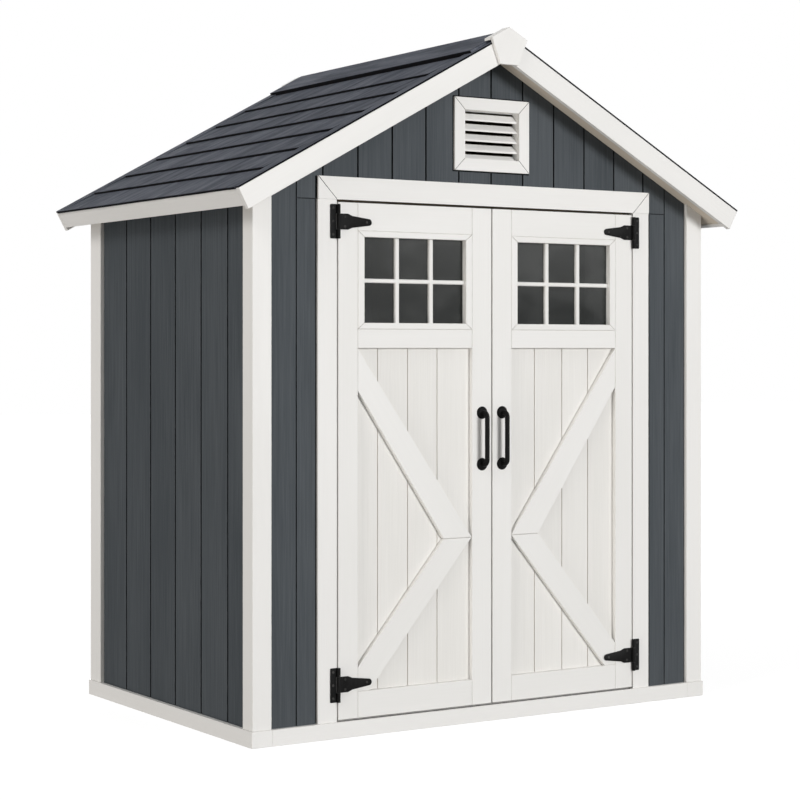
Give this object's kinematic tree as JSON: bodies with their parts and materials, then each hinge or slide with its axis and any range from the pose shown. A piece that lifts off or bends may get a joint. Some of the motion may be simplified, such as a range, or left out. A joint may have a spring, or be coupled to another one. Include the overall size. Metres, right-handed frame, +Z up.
{
  "type": "garden shed",
  "caption": "Small gabled timber garden shed with boarded walls, lapped roof, louvred gable vent and a pair of glazed, braced doors that swing outward.",
  "frame": {"origin": "on the ground under the middle of the shed's footprint", "axes": "+X to the right of someone facing the doors, +Y from the doors to the back wall, +Z up"},
  "size_m": [2.0324, 1.408, 2.3084],
  "materials": {
    "trim_paint": "satin off-white paint",
    "door_paint": "satin off-white paint",
    "panel_paint": "off-white paint over vertical boards",
    "soffit_paint": "matt warm-grey paint",
    "siding_paint": "matt blue-grey paint over brushed vertical boards",
    "bare_timber": "planed softwood",
    "roof_covering": "matt dark slate-blue lapped courses",
    "black_iron": "textured matt black",
    "window_glass": "clear pane, dark inside"
  },
  "bodies": {
    "shed": {"back_wall": "siding_paint", "barge_boards": "trim_paint", "base_end_rails": "trim_paint", "base_side_rails": "trim_paint", "corner_posts": "trim_paint", "door_header": "trim_paint", "door_jambs": "trim_paint", "door_stops": "bare_timber", "eave_fascias": "trim_paint", "eave_soffits": "soffit_paint", "floor": "bare_timber", "floor_joists": "bare_timber", "front_gable": "siding_paint", "front_wall_left": "siding_paint", "front_wall_right": "siding_paint", "hinge_leaves": "black_iron", "left_wall": "siding_paint", "rake_soffits": "soffit_paint", "rake_strips": "roof_covering", "ridge_cap": "roof_covering", "ridge_plates": "trim_paint", "right_wall": "siding_paint", "roof_beams": "bare_timber", "roof_courses": "roof_covering", "roof_deck": "bare_timber", "vent_frame": "trim_paint", "vent_louvres": "trim_paint", "wall_plates": "bare_timber", "wall_studs": "bare_timber"},
    "left_door": {"left_door_braces": "door_paint", "left_door_handle": "black_iron", "left_door_hinge_straps": "black_iron", "left_door_panel": "panel_paint", "left_door_rails": "door_paint", "left_door_stiles": "door_paint", "left_door_window_frame": "door_paint", "left_door_window_glass": "window_glass"},
    "right_door": {"right_door_braces": "door_paint", "right_door_handle": "black_iron", "right_door_hinge_straps": "black_iron", "right_door_panel": "panel_paint", "right_door_rails": "door_paint", "right_door_stiles": "door_paint", "right_door_window_frame": "door_paint", "right_door_window_glass": "window_glass"}
  },
  "joints": [
    {"name": "left_door_hinge", "type": "hinge", "parent": "shed", "child": "left_door", "pos_m": [-0.6035, -0.608, 0], "axis": [0, 0, -1], "range_deg": [0, 150]},
    {"name": "right_door_hinge", "type": "hinge", "parent": "shed", "child": "right_door", "pos_m": [0.6035, -0.608, 0], "axis": [0, 0, 1], "range_deg": [0, 150]}
  ]
}
